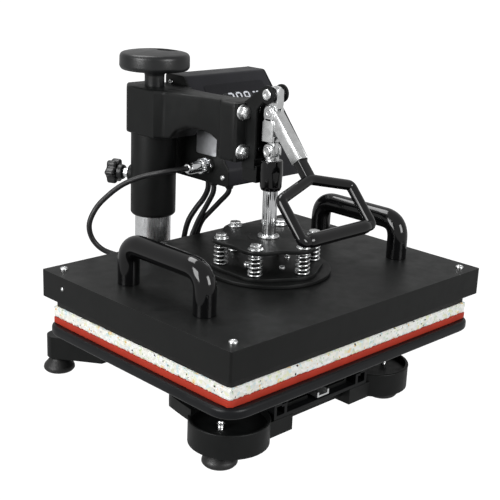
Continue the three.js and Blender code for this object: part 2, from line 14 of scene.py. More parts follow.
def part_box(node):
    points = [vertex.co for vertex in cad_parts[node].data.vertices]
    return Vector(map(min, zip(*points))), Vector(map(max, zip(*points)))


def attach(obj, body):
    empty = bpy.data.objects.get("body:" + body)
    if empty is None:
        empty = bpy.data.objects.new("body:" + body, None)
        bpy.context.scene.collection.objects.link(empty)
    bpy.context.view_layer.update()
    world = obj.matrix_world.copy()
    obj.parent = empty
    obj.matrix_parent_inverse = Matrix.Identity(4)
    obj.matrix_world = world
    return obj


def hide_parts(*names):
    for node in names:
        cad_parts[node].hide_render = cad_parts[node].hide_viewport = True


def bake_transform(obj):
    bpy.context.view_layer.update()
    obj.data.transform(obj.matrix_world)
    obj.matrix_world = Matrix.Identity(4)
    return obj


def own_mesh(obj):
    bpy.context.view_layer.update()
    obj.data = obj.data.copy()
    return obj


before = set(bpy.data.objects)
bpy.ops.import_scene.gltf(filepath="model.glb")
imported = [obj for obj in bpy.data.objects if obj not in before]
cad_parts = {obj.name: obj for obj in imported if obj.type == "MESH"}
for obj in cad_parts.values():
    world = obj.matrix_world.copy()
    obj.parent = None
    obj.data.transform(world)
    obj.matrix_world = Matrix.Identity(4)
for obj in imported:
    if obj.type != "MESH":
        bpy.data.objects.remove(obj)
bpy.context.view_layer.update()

MM = 0.001
PLATEN_Y = sum(corner.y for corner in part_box("platen_cover")) / 2


POST = (0, 194, 0)
PIVOT = (0, 0, 349.4)
KNUCKLE = np.array((0, 0, 330.4))
FORK_PIN = (0, 0, 289.9)
GLAND = (0, 129, 247)
CLAMP = (0, 194, 225.4)
CLAMP_TURN = math.radians(114.8)


def to_frame(points):
    """Millimetres about the platen's axis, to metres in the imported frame."""
    return np.asarray(points, float) * MM + (0, PLATEN_Y, 0)


# ---- camera
LENS = 75.24
EYE = (-772.6, -745.0, 513.6)
AZIMUTH, ELEVATION, ROLL = math.radians(-45.024), math.radians(17.239), math.radians(2.317)


def make_camera():
    """The camera's back direction from azimuth and elevation, then its right and up turned by the roll."""
    flat = math.cos(ELEVATION)
    back = Vector((math.sin(AZIMUTH) * flat, -math.cos(AZIMUTH) * flat, math.sin(ELEVATION)))
    right = Vector((0, 0, 1)).cross(back).normalized()
    up = back.cross(right)
    rolled_right = math.cos(ROLL) * right + math.sin(ROLL) * up
    rolled_up = math.cos(ROLL) * up - math.sin(ROLL) * right
    data = bpy.data.cameras.new("camera")
    data.lens = LENS
    data.sensor_width = 36
    data.clip_end = 50
    camera = bpy.data.objects.new("camera", data)
    bpy.context.scene.collection.objects.link(camera)
    turn = Matrix((rolled_right, rolled_up, back)).transposed().to_4x4()
    camera.matrix_world = Matrix.Translation(Vector(to_frame(EYE))) @ turn
    bpy.context.scene.camera = camera


make_camera()


# ---- finishes
class Finish:
    """A node material in the making: a principled shader, and nodes that vary its colour,
    roughness and relief."""

    def __init__(self, name, colour, roughness, metallic=0.0, **sockets):
        self.material = bpy.data.materials.new(name)
        self.material.use_nodes = True
        self.tree = self.material.node_tree
        self.shader = self.tree.nodes["Principled BSDF"]
        self.colour = (*colour, 1)
        self.material.diffuse_color = self.colour
        self.shader.inputs["Base Color"].default_value = self.colour
        self.shader.inputs["Roughness"].default_value = roughness
        self.shader.inputs["Metallic"].default_value = metallic
        for socket, value in sockets.items():
            self.shader.inputs[socket.replace("_", " ")].default_value = value
        self.where = self.node("ShaderNodeTexCoord").outputs["Object"]

    def node(self, kind, **inputs):
        """A new node with its inputs set, an underscore standing for a space in their names."""
        made = self.tree.nodes.new(kind)
        for socket, value in inputs.items():
            made.inputs[socket.replace("_", " ")].default_value = value
        return made

    def link(self, source, target):
        """One node's output led to another's input."""
        self.tree.links.new(source, target)

    def noise(self, scale, detail=3.0, stretch=(1, 1, 1)):
        """Noise on the piece's own coordinates, drawn out along an axis by a small stretch."""
        mapping = self.node("ShaderNodeMapping", Scale=stretch)
        self.link(self.where, mapping.inputs["Vector"])
        texture = self.node("ShaderNodeTexNoise", Scale=scale, Detail=detail)
        self.link(mapping.outputs["Vector"], texture.inputs["Vector"])
        return texture.outputs["Fac"]

    def cells(self, scale):
        """Irregular cells, each with its own colour and the distance from its middle."""
        texture = self.node("ShaderNodeTexVoronoi", Scale=scale)
        self.link(self.where, texture.inputs["Vector"])
        return texture

    def ramp(self, source, stops, constant=False):
        """Colour by value: stops are (place, colour) pairs."""
        made = self.node("ShaderNodeValToRGB")
        made.color_ramp.interpolation = "CONSTANT" if constant else "LINEAR"
        elements = made.color_ramp.elements
        while len(elements) < len(stops):
            elements.new(0.5)
        for element, (place, colour) in zip(elements, stops):
            element.position = place
            element.color = (*colour, 1)
        self.link(source, made.inputs["Fac"])
        return made.outputs["Color"]

    def mottle(self, source, spread):
        """The base colour, darker and lighter by a share as the noise runs from low to high."""
        low, high = ([c * share for c in self.colour[:3]] for share in (1 - spread, 1 + spread))
        self.link(self.ramp(source, [(0.3, low), (0.7, high)]), self.shader.inputs["Base Color"])
        return self

    def gloss(self, source, low, high):
        """Roughness from low to high with the noise."""
        ranged = self.node("ShaderNodeMapRange", From_Min=0.3, From_Max=0.7, To_Min=low, To_Max=high)
        self.link(source, ranged.inputs["Value"])
        self.link(ranged.outputs["Result"], self.shader.inputs["Roughness"])
        return self

    def relief(self, source, depth, strength=1.0):
        """Fine bumps of that depth in millimetres, laid over any that are there already."""
        bump = self.node("ShaderNodeBump", Strength=strength, Distance=depth * MM)
        self.link(source, bump.inputs["Height"])
        normal = self.shader.inputs["Normal"]
        if normal.is_linked:
            self.link(normal.links[0].from_socket, bump.inputs["Normal"])
        self.link(bump.outputs["Normal"], normal)
        return self


def painted_metal(name, colour, roughness, peel=0.05):
    """Powder coat: a fine orange peel, faint clouds of gloss and a little dust in the colour."""
    made = Finish(name, colour, roughness, Specular_IOR_Level=0.22)
    made.mottle(made.noise(22), 0.18)
    made.gloss(made.noise(60, 4), roughness - 0.05, roughness + 0.07)
    made.relief(made.noise(1500, 2), peel, 0.6)
    return made.material


def cast_metal(name, colour, roughness):
    """Painted sand casting: a pebbled skin under the paint, with slow waves from the mould."""
    made = Finish(name, colour, roughness, Specular_IOR_Level=0.22)
    made.mottle(made.noise(35, 5), 0.22)
    made.gloss(made.noise(90, 4), roughness - 0.06, roughness + 0.08)
    made.relief(made.noise(70, 3), 0.12, 0.35)
    made.relief(made.noise(900, 3), 0.08, 0.7)
    return made.material


def enamel(name, colour, roughness=0.07):
    """Dipped gloss vinyl and enamel: a clear coat over black, with slow runs in its surface."""
    made = Finish(name, colour, roughness, Coat_Weight=0.2, Coat_Roughness=0.03, Specular_IOR_Level=0.35)
    made.mottle(made.noise(40), 0.15)
    made.gloss(made.noise(120, 2), roughness, roughness + 0.06)
    made.relief(made.noise(55, 2), 0.10, 0.35)
    return made.material


def plated_metal(name, colour, roughness, spread=0.06, lines=(1, 1, 1), relief=0.01):
    """Chrome and zinc plate: polishing lines along the stretch, and clouds where the plate is thinner."""
    made = Finish(name, colour, roughness, 1.0)
    made.mottle(made.noise(160, 4), 0.10)
    made.gloss(made.noise(220, 4, lines), roughness, roughness + spread)
    made.relief(made.noise(900, 3, lines), relief, 0.6)
    return made.material


def moulded_plastic(name, colour, roughness):
    """Phenolic moulding: an even sheen with a faint grain and handling marks."""
    made = Finish(name, colour, roughness, Specular_IOR_Level=0.45)
    made.mottle(made.noise(50), 0.15)
    made.gloss(made.noise(75, 4), roughness - 0.05, roughness + 0.08)
    made.relief(made.noise(1100, 2), 0.03, 0.6)
    return made.material


def cable_rubber(name, colour=(0.005, 0.005, 0.0055)):
    """Cord jacket: soft sheen, its colour mottled at random."""
    made = Finish(name, colour, 0.5)
    made.mottle(made.noise(200), 0.3)
    made.gloss(made.noise(350), 0.40, 0.55)
    made.relief(made.noise(1400, 2), 0.03, 0.5)
    return made.material


def red_silicone():
    """Cast silicone rubber: matt, with a fine skin and slightly uneven colour."""
    made = Finish("silicone_red", (0.42, 0.034, 0.016), 0.6, Specular_IOR_Level=0.3)
    made.mottle(made.noise(45, 4), 0.10)
    made.gloss(made.noise(160), 0.5, 0.7)
    made.relief(made.noise(800, 3), 0.10, 0.6)
    return made.material


def rebonded_foam():
    """Rebonded foam: cream crumbs, some tinted and a few black, each with its own small step in height."""
    made = Finish("foam_crumbs", (0.86, 0.86, 0.78), 0.95, Specular_IOR_Level=0.15)
    crumbs = made.cells(260)
    tint = made.ramp(crumbs.outputs["Color"], [
        (0.0, (0.80, 0.84, 0.80)), (0.20, (0.90, 0.90, 0.84)), (0.38, (0.93, 0.95, 0.93)),
        (0.52, (0.86, 0.88, 0.66)), (0.60, (0.95, 0.95, 0.90)), (0.72, (0.70, 0.84, 0.86)),
        (0.78, (0.92, 0.90, 0.82)), (0.86, (0.92, 0.72, 0.42)), (0.90, (0.94, 0.95, 0.93))], True)
    chips = made.cells(520)
    speck = made.ramp(chips.outputs["Color"], [
        (0.0, (0.03, 0.03, 0.035)), (0.10, (1, 1, 1)), (0.80, (0.75, 0.86, 0.70)),
        (0.84, (1, 1, 1)), (0.90, (0.95, 0.62, 0.35)), (0.94, (0.62, 0.80, 0.86)), (0.97, (1, 1, 1))], True)
    blend = made.node("ShaderNodeMix")
    blend.data_type = "RGBA"
    blend.blend_type = "MULTIPLY"
    blend.inputs["Factor"].default_value = 1.0
    made.link(tint, blend.inputs[6])
    made.link(speck, blend.inputs[7])
    made.link(blend.outputs[2], made.shader.inputs["Base Color"])
    made.relief(crumbs.outputs["Distance"], 0.9, 0.7)
    made.relief(made.noise(1300, 3), 0.3, 0.6)
    return made.material


def smoked_window():
    """Display window: a dark gloss plastic with a faint haze."""
    made = Finish("display_smoke", (0.012, 0.013, 0.015), 0.12)
    made.gloss(made.noise(90), 0.08, 0.2)
    return made.material


def lit_segment():
    """Display segments: pale, faintly glowing, uneven from segment to segment."""
    made = Finish("display_segment", (0.62, 0.64, 0.68), 0.4)
    made.mottle(made.noise(300), 0.15)
    made.shader.inputs["Emission Color"].default_value = (0.75, 0.78, 0.85, 1)
    made.shader.inputs["Emission Strength"].default_value = 0.10
    return made.material


def glass_fibre():
    """Insulation board: pale matt fibres lying in the board's plane."""
    made = Finish("fibre_board", (0.70, 0.66, 0.56), 0.95)
    made.mottle(made.noise(500, 4, (1, 1, 6)), 0.2)
    made.relief(made.noise(700, 4, (1, 1, 5)), 0.3, 0.8)
    return made.material


CAST = cast_metal("cast_black", (0.0050, 0.0055, 0.0054), 0.44)
SHEET = painted_metal("sheet_black", (0.0048, 0.0052, 0.0050), 0.42)
EXTRUSION = painted_metal("extrusion_black", (0.005, 0.0055, 0.006), 0.38, 0.03)
BOX_PAINT = painted_metal("box_charcoal", (0.014, 0.014, 0.017), 0.42)
MEMBRANE = painted_metal("panel_membrane", (0.007, 0.007, 0.009), 0.50, 0.03)
TABLE_PAINT = painted_metal("table_black", (0.006, 0.0065, 0.0075), 0.34)
GLOSS = enamel("gloss_black", (0.0022, 0.0022, 0.0025))
PLASTIC = moulded_plastic("knob_black", (0.008, 0.0085, 0.009), 0.34)
CHROME = plated_metal("chrome", (0.82, 0.83, 0.84), 0.05, 0.06, (6, 6, 0.4))
GROUND = plated_metal("ground_chrome", (0.86, 0.87, 0.88), 0.22, 0.10, (8, 8, 0.3), 0.02)
ZINC = plated_metal("zinc", (0.78, 0.79, 0.79), 0.20, 0.12, (1, 1, 1), 0.03)
ALUMINIUM = plated_metal("aluminium", (0.86, 0.87, 0.87), 0.28, 0.12, (1, 0.2, 1), 0.03)
LABEL = plated_metal("label_foil", (0.55, 0.56, 0.58), 0.35, 0.10, (0.3, 1, 4), 0.02)
RUBBER = cable_rubber("foot_rubber", (0.006, 0.006, 0.006))
JACKET = cable_rubber("cord_jacket")
COATED = painted_metal("plate_coating", (0.010, 0.010, 0.010), 0.5)
SILICONE = red_silicone()
FOAM = rebonded_foam()
WINDOW = smoked_window()
SEGMENT = lit_segment()
FIBRE = glass_fibre()


# ---- surfaces
def unit(vectors):
    """Vectors at length one."""
    return vectors / np.linalg.norm(vectors, axis=-1, keepdims=True)


def rings(points, closed=False):
    """A shell from rings of points, rows by columns: quads between neighbouring rings, and a flat
    face over the first and last ring unless the last joins the first."""
    points = np.asarray(points, float)
    rows, columns = points.shape[:2]
    row = np.arange(rows if closed else rows - 1)[:, None]
    column = np.arange(columns)
    beside = (column + 1) % columns
    after = (row + 1) % rows
    quads = np.stack([row * columns + column, row * columns + beside,
                      after * columns + beside, after * columns + column], axis=-1)
    caps = [] if closed else [column[::-1], (rows - 1) * columns + column]
    return points.reshape(-1, 3), quads.reshape(-1, 4), caps


def piece(name, shells, material, body, crease=38, replaces=()):
    """One named piece from closed shells, given in millimetres about the platen's axis."""
    shells = shells if isinstance(shells, list) else [shells]
    points, faces, start = [], [], 0
    for shell_points, quads, caps in shells:
        points.append(shell_points)
        faces += (quads + start).tolist() + [(cap + start).tolist() for cap in caps]
        start += len(shell_points)
    mesh = bpy.data.meshes.new(name)
    mesh.from_pydata(to_frame(np.concatenate(points)), [], faces)
    tidy_mesh(mesh, crease)
    return settle(name, mesh, material, body, replaces)


def tidy_mesh(mesh, crease):
    """Poles closed, normals outwards, smooth shading with creases past an angle in degrees."""
    shape = bmesh.new()
    shape.from_mesh(mesh)
    bmesh.ops.remove_doubles(shape, verts=shape.verts, dist=2e-6)
    bmesh.ops.recalc_face_normals(shape, faces=shape.faces)
    shape.to_mesh(mesh)
    shape.free()
    mesh.shade_smooth()
    mesh.set_sharp_from_angle(angle=math.radians(crease))


def settle(name, mesh, material, body, replaces=()):
    """The mesh as an object with its finish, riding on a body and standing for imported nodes."""
    made = bpy.data.objects.new(name, mesh)
    bpy.context.scene.collection.objects.link(made)
    mesh.materials.append(material)
    if body:
        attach(made, body)
    if replaces:
        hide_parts(*replaces)
    return made


def recast(name, node, material, body, edge=0.8, segments=3, angle=32):
    """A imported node's own shape, merged and cleaned of coplanar cuts, with its edges rounded."""
    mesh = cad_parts[node].data.copy()
    mesh.name = name
    mesh.materials.clear()
    shape = bmesh.new()
    shape.from_mesh(mesh)
    bmesh.ops.remove_doubles(shape, verts=shape.verts, dist=2e-6)
    bmesh.ops.dissolve_limit(shape, angle_limit=math.radians(0.5), verts=shape.verts, edges=shape.edges)
    shape.to_mesh(mesh)
    shape.free()
    mesh.shade_smooth()
    made = settle(name, mesh, material, body, (node,))
    bevel = made.modifiers.new("edges", "BEVEL")
    bevel.width = edge * MM
    bevel.segments = segments
    bevel.limit_method = "ANGLE"
    bevel.angle_limit = math.radians(angle)
    bevel.use_clamp_overlap = True
    weighted = made.modifiers.new("shading", "WEIGHTED_NORMAL")
    weighted.keep_sharp = False
    weighted.weight = 80
    return made


def softened(points, radius, steps=5, closed=False):
    """A polyline whose corners are rounded: each becomes a short parabola between the points a
    radius before and after it, or nearer where a side is short."""
    points = np.asarray(points, float)
    before = np.roll(points, 1, axis=0)
    after = np.roll(points, -1, axis=0)
    reach_back = np.linalg.norm(points - before, axis=1)
    reach_on = np.linalg.norm(after - points, axis=1)
    radius = np.minimum(radius, 0.48 * np.minimum(reach_back, reach_on))[:, None]
    start = points + radius * (before - points) / np.maximum(reach_back, 1e-9)[:, None]
    end = points + radius * (after - points) / np.maximum(reach_on, 1e-9)[:, None]
    t = np.linspace(0, 1, steps)[None, :, None]
    curve = (1 - t) ** 2 * start[:, None] + 2 * t * (1 - t) * points[:, None] + t ** 2 * end[:, None]
    if closed:
        return curve.reshape(-1, points.shape[1])
    inner = curve[1:-1].reshape(-1, points.shape[1])
    return np.concatenate([points[:1], inner, points[-1:]])


# A plane is its origin and its two directions; the normal is their cross product.
UPRIGHT = ((0, 0, 0), (1, 0, 0), (0, 1, 0))
LENGTHWISE = ((0, 0, 0), (0, 1, 0), (0, 0, 1))
FACING = ((0, 0, 0), (1, 0, 0), (0, 0, 1))


def at(origin, plane):
    """The same plane through another point."""
    return (origin, *plane[1:])


def around(sides):
    """That many even angles round a full turn."""
    return np.linspace(0, 2 * math.pi, sides, endpoint=False)


def lobed(radius, sides, lobes=0, depth=0.0, turn=0.0):
    """A round outline whose radius swings as a cosine by a depth, that many times a turn."""
    angle = around(sides)
    reach = radius + depth * np.cos(lobes * angle + turn)
    return np.stack([reach * np.cos(angle), reach * np.sin(angle)], axis=1)


def placed(local, plane):
    """Points given along a plane's two directions and its normal, in the platen's coordinates."""
    origin, across, along = (np.array(part, float) for part in plane)
    normal = np.cross(across, along)
    return origin + local @ np.stack([across, along, normal])


def drawn_in(outline, distance):
    """An outline moved inwards, each corner along the bisector of its two sides."""
    sides = unit(np.roll(outline, -1, axis=0) - outline)
    inward = np.stack([-sides[:, 1], sides[:, 0]], axis=1)
    bisector = unit(inward + np.roll(inward, 1, axis=0))
    stretch = 1 / np.maximum((bisector * inward).sum(axis=1, keepdims=True), 0.35)
    return outline + distance * bisector * stretch


def anticlockwise(outline):
    """The outline in the order that keeps its inside on the left."""
    x, y = outline.T
    area = (x * np.roll(y, -1) - np.roll(x, -1) * y).sum()
    return outline if area > 0 else outline[::-1]


def slab(outline, low, high, edge=0.6, plane=UPRIGHT, steps=4, hole=None):
    """An outline raised from low to high with quarter-round edges: its rings are drawn in by
    edge*(1-sin t) and stand edge*(1-cos t) off each face. A hole's rings come back inside."""
    outline = anticlockwise(np.asarray(outline, float))
    t = np.linspace(0, math.pi / 2, steps)
    inset = edge * (1 - np.sin(t))
    rise = edge * (1 - np.cos(t))
    insets = np.concatenate([inset, inset[::-1]])
    heights = np.concatenate([low + rise, high - rise[::-1]])

    def wall(shape, sign):
        """The outline's rings from low to high, drawn in or let out by the sign."""
        stack = [np.column_stack([drawn_in(shape, sign * d), np.full(len(shape), h)])
                 for d, h in zip(insets, heights)]
        return np.stack(stack)

    if hole is None:
        return rings(placed(wall(outline, 1), plane))
    inner = wall(anticlockwise(np.asarray(hole, float)), -1)[::-1]
    return rings(placed(np.concatenate([wall(outline, 1), inner]), plane), closed=True)


def square_to(axis):
    """Two directions square to an axis and to each other."""
    helper = np.array((1.0, 0, 0)) if abs(axis[0]) < 0.9 else np.array((0, 1.0, 0))
    first = unit(np.cross(axis, helper))
    return first, np.cross(axis, first)


def turned(profile, centre, axis=(0, 0, 1), sides=64, closed=False, flutes=0, flute=0.0):
    """A profile of (radius, place along the axis) pairs turned about the axis; flutes add that
    many cosine waves round it, of a depth in millimetres."""
    axis = unit(np.array(axis, float))
    first, second = square_to(axis)
    angle = around(sides)
    profile = np.asarray(profile, float)
    radius = profile[:, :1] + np.where(profile[:, :1] > 0.01, flute * np.cos(flutes * angle), 0)
    spokes = np.cos(angle)[:, None] * first + np.sin(angle)[:, None] * second
    points = np.array(centre, float) + radius[..., None] * spokes + profile[:, 1, None, None] * axis
    return rings(points, closed)


def carried_frames(path, closed=False):
    """Tangent and two normals at each station; a normal is the last one less its part along the
    new tangent, so the section doesn't twist."""
    if closed:
        tangent = unit(np.roll(path, -1, axis=0) - np.roll(path, 1, axis=0))
    else:
        tangent = unit(np.gradient(path, axis=0))
    start = np.array((0.0, 0, 1)) if abs(tangent[0, 2]) < 0.9 else np.array((1.0, 0, 0))
    normal = np.empty_like(path)
    for station, direction in enumerate(tangent):
        start = unit(start - (start @ direction) * direction)
        normal[station] = start
    return tangent, normal, np.cross(tangent, normal)


def tube(path, radius, sides=12, closed=False):
    """A round bar along a path; the radius may change from station to station."""
    path = np.asarray(path, float)
    _, normal, other = carried_frames(path, closed)
    angle = around(sides)
    radius = np.broadcast_to(radius, len(path))[:, None, None]
    ring = np.cos(angle)[None, :, None] * normal[:, None]
    ring = ring + np.sin(angle)[None, :, None] * other[:, None]
    return rings(path[:, None] + radius * ring, closed)


def smooth_route(points, spacing=2.0):
    """A centripetal Catmull-Rom curve through the points, stepped evenly: each span is a cubic
    whose end slopes come from the square roots of the distances to its neighbours."""
    points = np.asarray(points, float)
    ends = 2 * points[:1] - points[1:2], 2 * points[-1:] - points[-2:-1]
    p = np.concatenate([ends[0], points, ends[1]])
    gap = np.sqrt(np.linalg.norm(np.diff(p, axis=0), axis=1))[:, None]
    before, here, after = gap[:-2], gap[1:-1], gap[2:]
    p0, p1, p2, p3 = p[:-3], p[1:-2], p[2:-1], p[3:]
    m1 = here * ((p1 - p0) / before - (p2 - p0) / (before + here) + (p2 - p1) / here)
    m2 = here * ((p2 - p1) / here - (p3 - p1) / (here + after) + (p3 - p2) / after)
    t = np.linspace(0, 1, 24, endpoint=False)[None, :, None]
    cubic = (2 * p1 - 2 * p2 + m1 + m2)[:, None] * t ** 3
    square = (3 * p2 - 3 * p1 - 2 * m1 - m2)[:, None] * t ** 2
    curve = (cubic + square + m1[:, None] * t + p1[:, None]).reshape(-1, 3)
    return even_steps(np.concatenate([curve, points[-1:]]), spacing)


def even_steps(path, spacing):
    """The path at even distances along itself."""
    run = np.concatenate([[0], np.cumsum(np.linalg.norm(np.diff(path, axis=0), axis=1))])
    stops = np.linspace(0, run[-1], max(2, round(run[-1] / spacing)) + 1)
    return np.stack([np.interp(stops, run, path[:, axis]) for axis in range(path.shape[1])], axis=1)


def round_steps(outline, spacing):
    """A closed outline at even distances along itself."""
    return even_steps(np.concatenate([outline, outline[:1]]), spacing)[:-1]


def rectangle(x0, x1, y0, y1, radius, steps=8):
    """A rectangle with round corners, as a closed outline."""
    return softened([(x0, y0), (x1, y0), (x1, y1), (x0, y1)], radius * 1.25, steps, True)


def hexagon(across, turn=0.0):
    """A hexagon of that width across its flats, its corners eased."""
    angle = np.arange(6) * math.pi / 3 + turn
    corners = np.stack([np.cos(angle), np.sin(angle)], axis=1) * across / math.sqrt(3)
    return softened(corners, 0.6, 3, True)


def stacked(outline, profile, plane=UPRIGHT):
    """An outline carried up a profile of (inset, height) pairs, with flat ends."""
    outline = anticlockwise(np.asarray(outline, float))
    return rings(placed(np.stack(
        [np.column_stack([drawn_in(outline, inset), np.full(len(outline), height)])
         for inset, height in profile]), plane))


def bar(radius, low, high, edge=0.8):
    """The profile of a round bar with rounded rims."""
    return softened([(0.4, low), (radius, low), (radius, high), (0.4, high)], edge)


def screw(centre, axis, head=4.2, height=2.6, socket=1.9):
    """A pan head screw: a low dome with a sunken round socket."""
    profile = [(head, 0), (head, height * 0.45), (head * 0.82, height * 0.85), (head * 0.62, height),
               (socket, height), (socket, height * 0.35), (0.3, height * 0.3)]
    return turned(softened(profile, 0.35, 3), centre, axis, 20)


def hex_bolt(centre, axis, across=9.0, height=5.0, washer=6.8, turn=0.0):
    """A washer, a flange and a hexagonal head with an eased top."""
    plane = (centre, *square_to(np.array(axis, float)))
    return [slab(lobed(washer, 24), 0, 1.2, 0.3, plane, 3),
            slab(hexagon(across, turn), 1.2, height, 0.7, plane, 3)]


def cheeks(outline, near, far, edge, plane, steps=4):
    """Two like slabs, one each side of a plane, between two distances from it."""
    spans = [sorted((side * near, side * far)) for side in (-1, 1)]
    return [slab(outline, low, high, edge, plane, steps) for low, high in spans]


def both_ends(profile, centre, sides, closed=False):
    """A profile turned about X, outwards to the left and to the right of a centre."""
    return [turned(profile, centre, (side, 0, 0), sides, closed) for side in (-1, 1)]


# ---- cords
CORD_STEP = 3.0
LEADS = {
    "heater_lead": [(-5.3, 129, 247), (-16, 130, 247), (-30, 137, 245), (-46, 157, 238), (-61, 173, 228),
                    (-75, 183, 215), (-87, 190, 200), (-93.5, 194, 181), (-90, 193, 164), (-82, 186, 152),
                    (-72, 173, 146.5), (-66, 158, 146), (-65, 145.9, 146)],
    "sensor_lead": [(38, 129, 225), (38, 129.5, 214), (37, 139, 196), (34.5, 150, 176), (33, 156, 162),
                    (31, 158, 153), (30, 153, 147), (29.5, 145.9, 146)],
    "earth_lead": [(41, 106, 225), (41, 106.6, 218.5), (42, 123, 202), (41.5, 139, 186), (40.5, 150, 174),
                   (40, 156.5, 161), (39.5, 157.5, 153), (39, 153, 147), (38.5, 145.9, 146)],
}
MAINS_DROP = [(48, 150, 245), (48, 150, 225), (49, 151, 212), (48.5, 158, 198), (43.5, 165.5, 185),
              (37, 171, 170), (35, 176, 150), (36, 180, 125), (40, 180, 99), (47, 181, 76),
              (51, 191, 58), (55, 207, 50), (58, 224, 49.6), (60.5, 238, 48.6), (63, 249, 42),
              (66, 257, 30), (69, 266, 17.5), (72, 276, 8), (74.5, 288, 3.8), (76, 301, 3.7),
              (76.6, 316, 3.7)]
COIL_CENTRE = (32, 330)
PLUG_X = -12.6


def coil_turns():
    """Two flat layers of turns: the lower one closes in from the outside while the upper one opens
    out again; radius and height run smoothly with the angle, sixty stations to a turn."""
    angle = np.linspace(0, 5.5 * 2 * math.pi, 330)
    turns = angle / (2 * math.pi)
    low_part = np.clip(turns / 2.5, 0, 1)
    high_part = np.clip((turns - 3.2) / 2.3, 0, 1)
    radius = 44.6 - 13.6 * low_part + 13.6 * high_part
    climb = np.clip((turns - 2.5) / 0.7, 0, 1)
    height = 3.7 + 7.0 * climb * climb * (3 - 2 * climb)
    x, y = COIL_CENTRE
    return np.stack([x + radius * np.cos(angle), y + radius * np.sin(angle), height], axis=1)


def mains_cord():
    """Down from the box, over the rear casting, and laid in a coil behind it that ends in the plug."""
    drop = smooth_route(MAINS_DROP, CORD_STEP)
    turns = coil_turns()
    tail = [(PLUG_X, 318, 10.6), (PLUG_X, 306, 10.5), (PLUG_X, 298, 10.5)]
    path = even_steps(np.concatenate([drop, turns[1:], tail]), CORD_STEP)
    cord = piece("mains_lead", tube(path, 3.4, 12), JACKET, None, 60, ("mains_cord", "mains_coil"))
    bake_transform(cord)
    plug = mains_plug()


def mains_plug():
    """A moulded two-blade plug with finger ridges and a ribbed relief that narrows to the cord."""
    body = rectangle(-25.6, 0.4, 264, 287, 5)
    core = slab(body, 0.5, 20.5, 3.5)
    taper = softened([(5.0, 0), (5.0, 20), (9.5, 27), (9.5, 30)], 3)
    nose = turned(taper, (PLUG_X, 262, 10.5), (0, 1, 0), 24)
    ribs = [(3.7 + 0.2 * (8 - n) + (0.9 if n % 2 else 0), 286 + 2 * n) for n in range(9)]
    relief = turned(softened([(7.5, 284), *ribs, (3.6, 302)], 0.5, 3), (PLUG_X, 0, 10.5), (0, 1, 0), 24)
    ridges = [slab(rectangle(-22, -3.2, y, y + 2.0, 0.9, 3), 20.3, 21.1, 0.3)
              for y in (269, 273, 277, 281)]
    blades = [slab(rectangle(x - 0.8, x + 0.8, 247, 265, 0.5, 3), 7.3, 13.7, 0.4)
              for x in (PLUG_X - 6.4, PLUG_X + 6.4)]
    return [piece("plug_body", [core, nose, relief, *ridges], RUBBER, "base", 40, ("mains_plug",)),
            piece("plug_blades", blades, CHROME, "base", 40)]


def platen_leads():
    """The heater, sensor and earth leads, from the arm's fixed end to the platen's back edge."""
    for core, points in LEADS.items():
        path = smooth_route(points, CORD_STEP)
        lead = piece(core + "_jacket", tube(path, 3.1, 14), JACKET, None, 60, (core,))
        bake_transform(lead)


mains_cord()
platen_leads()


# ---- base
def castings():
    """The castings, rail, table frame and brackets, as packed, with their edges eased."""
    for node, body, edge in (("front_casting", "base", 1.6), ("rear_casting", "base", 1.6),
                             ("base_rail", "base", 0.7), ("table_frame", "base", 0.7),
                             ("toggle_bracket", "arm", 1.0), ("box_bracket", "arm", 0.6)):
        material = {"base_rail": EXTRUSION, "table_frame": SHEET}.get(node, CAST)
        recast(node + "_finish", node, material, body, edge)


def rail_channel():
    """A bright channel strip let into the rail, its lips turned up."""
    section = [(-9, 43), (9, 43), (9, 49), (6.6, 49), (6.6, 45.2), (-6.6, 45.2), (-6.6, 49), (-9, 49)]
    piece("channel_strip", slab(section, -130, 91, 0.25, FACING, 2), ALUMINIUM, "base", 30, ("rail_channel",))


def feet():
    """Rubber levelling feet with a waist, on zinc studs with a nut above the casting."""
    for name, x, y in (("front_left", -128, -70), ("front_right", 128, -70),
                       ("rear_left", -118, 222), ("rear_right", 118, 222)):
        wall = [(0.4, 0), (15.8, 0), (18.6, 3.2), (17.8, 7.0), (12.0, 14.0), (9.0, 18.2), (0.4, 18.2)]
        piece(name + "_rubber", turned(softened(wall, 1.4), (x, y, 0), sides=56), RUBBER, "base", 40,
              (name + "_foot",))
        ridges = [(3.0 + (0.3 if n % 2 else 0), 17 + n * 0.8) for n in range(37)]
        stud = turned([(0.4, 17), *ridges, (2.4, 46.8), (0.4, 47.0)], (x, y, 0), sides=20)
        nut = slab(hexagon(8.5, 0.3), 44.1, 45.6, 0.5, at((x, y, 0), UPRIGHT), 3)
        piece(name + "_stud", [stud, nut], ZINC, "base", 35)


def pod_rims():
    """The rim line round each front pod, in the cast finish."""
    for hand in (-1, 1):
        ring = softened([(38.9, 43.2), (38.9, 44.35), (41.2, 44.35), (41.95, 43.4), (41.95, 42.9)], 0.4, 4)
        side = "left" if hand < 0 else "right"
        rim = turned(ring, (hand * 111.7, -65, 0), sides=96, closed=True)
        piece(f"pod_rim_{side}", rim, CAST, "base", 40)


def post():
    """A chromed tube with turned ends."""
    tube_shell = turned(bar(21.35, 30.3, 305, 1.2), POST, sides=96)
    piece("post_tube", tube_shell, GROUND, "base", 40, ("post",))


def table():
    """The pressed table: rolled lower edge, a wide round lip and the pocket the pads lie in."""
    outline = rectangle(-190, 190, -145, 145, 22, 16)
    t = np.linspace(0, math.pi / 2, 6)
    under = [(3.0 * (1 - math.sin(a)), 90.4 + 3.0 * (1 - math.cos(a))) for a in t]
    over = [(3.4 * (1 - math.cos(a)), 97.6 + 3.4 * math.sin(a)) for a in t]
    profile = [*under, *over, (7.9, 101), (8.6, 100.4), (8.75, 95.4)]
    piece("table_pan", stacked(outline, profile), TABLE_PAINT, "base", 40, ("table",))


